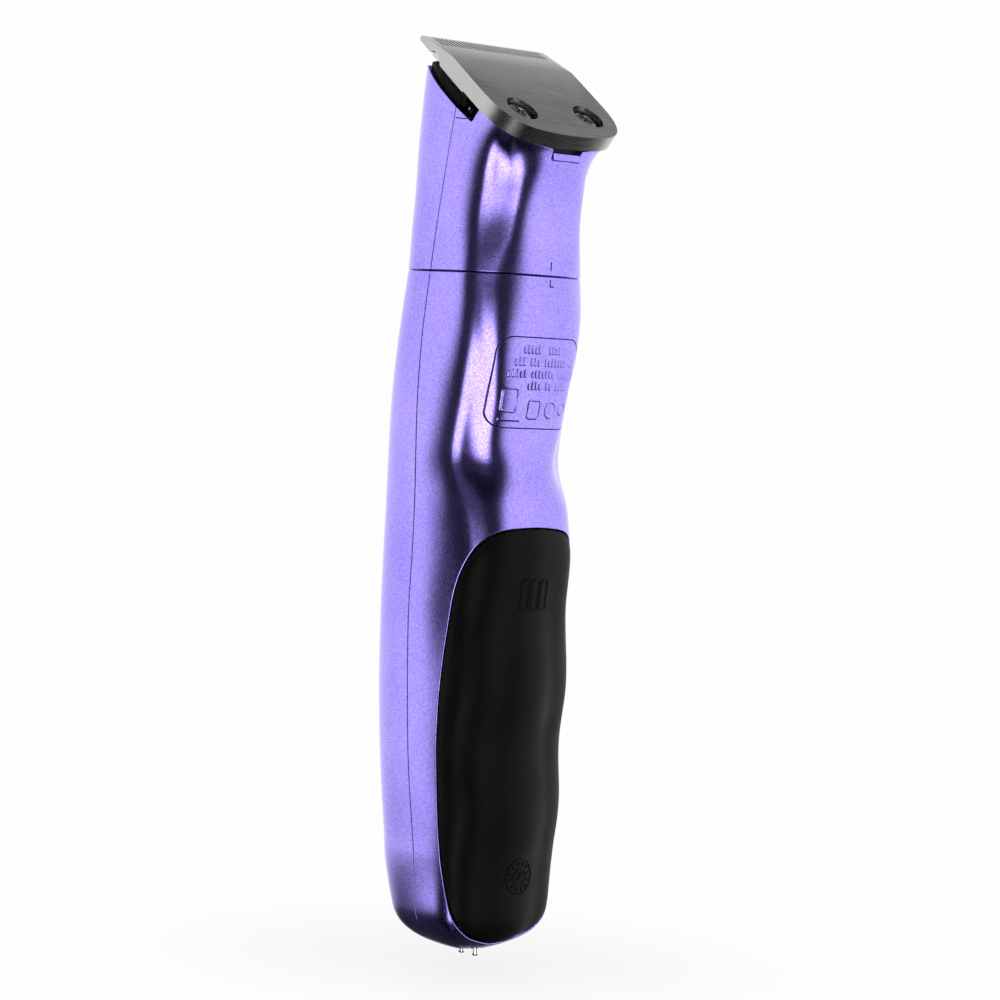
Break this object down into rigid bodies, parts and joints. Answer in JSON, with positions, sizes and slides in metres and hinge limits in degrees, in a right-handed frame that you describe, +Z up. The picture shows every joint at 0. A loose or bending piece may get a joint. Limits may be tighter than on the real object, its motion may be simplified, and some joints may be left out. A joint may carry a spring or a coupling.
{
  "type": "electric pet clipper",
  "caption": "Cordless pet clipper: contoured handle with a rubber grip, motor and cell inside, and a pull-off head whose cutter slides under a toothed blade.",
  "frame": {"origin": "midway between the lower ends of the two charging pins in the handle's foot", "axes": "+Z up the handle to the blade, +Y out of the back (grip and blade face), -Y out of the front (thumb slide), X across the width"},
  "size_m": [0.031, 0.0356, 0.1642],
  "materials": {
    "casing": "metallic lacquer, gloss",
    "grip_rubber": "soft matte",
    "blade_steel": "ground satin",
    "screw_steel": "satin",
    "black_plastic": "fine texture",
    "white_plastic": "moulded",
    "bright_steel": "polished",
    "pin_plating": "bright nickel plate",
    "motor_steel": "zinc plated",
    "magnet": "sintered",
    "winding": "enamelled copper wire",
    "contact_brass": "satin",
    "cell_sleeve": "shrink sleeve",
    "board": "solder mask",
    "led_body": "diffuse",
    "lens": "clear",
    "seal_rubber": "matte"
  },
  "bodies": {
    "handle": {"handle_front_shell": "casing", "handle_back_shell": "casing", "rubber_grip": "grip_rubber", "pin_block": "black_plastic", "charging_pin_front": "pin_plating", "charging_pin_rear": "pin_plating", "charging_strap_front": "contact_brass", "charging_strap_rear": "contact_brass", "battery_cell": "cell_sleeve", "battery_contact_lower": "pin_plating", "battery_contact_upper": "pin_plating", "chassis": "white_plastic", "circuit_board": "board", "charge_led": "led_body", "charge_light_lens": "lens", "switch_contact_left": "contact_brass", "switch_contact_right": "contact_brass", "motor_can": "motor_steel", "motor_end_cap": "black_plastic", "motor_magnet_left": "magnet", "motor_magnet_right": "magnet", "motor_bracket": "motor_steel", "motor_screw_left": "screw_steel", "motor_screw_right": "screw_steel", "neck_collar": "black_plastic", "neck_seal": "seal_rubber"},
    "rotor": {"motor_shaft": "bright_steel", "armature": "winding", "eccentric_cam": "white_plastic", "crank_pin": "bright_steel"},
    "head": {"head_front_shell": "casing", "head_back_shell": "casing", "head_socket": "black_plastic", "blade_carrier": "black_plastic", "fixed_blade": "blade_steel", "blade_screw_left": "screw_steel", "blade_screw_right": "screw_steel", "tension_spring": "bright_steel", "lever_pivot_pin": "bright_steel"},
    "cutter": {"cutter_blade": "blade_steel", "cutter_guide": "white_plastic"},
    "lever": {"drive_lever": "white_plastic"},
    "switch": {"switch_button": "black_plastic", "switch_slider": "white_plastic"}
  },
  "joints": [
    {"name": "head_release", "type": "slide", "parent": "handle", "child": "head", "axis": [0, 0, 1], "range_m": [0, 0.03]},
    {"name": "motor_spin", "type": "hinge", "parent": "handle", "child": "rotor", "pos_m": [0, -0.0032, 0.1], "axis": [0, 0, 1], "continuous": true},
    {"name": "cutter_stroke", "type": "slide", "parent": "head", "child": "cutter", "axis": [1, 0, 0], "range_m": [-0.00105, 0.00105]},
    {"name": "lever_rock", "type": "hinge", "parent": "head", "child": "lever", "pos_m": [0, -0.0032, 0.1405], "axis": [0, 1, 0], "range_deg": [-4.1, 4.1]},
    {"name": "switch_slide", "type": "slide", "parent": "handle", "child": "switch", "axis": [0, 0, 1], "range_m": [0, 0.004]}
  ],
  "couplings": [
    {"joint": "cutter_stroke", "follows": "lever_rock", "m_per_rad": 0.014}
  ]
}
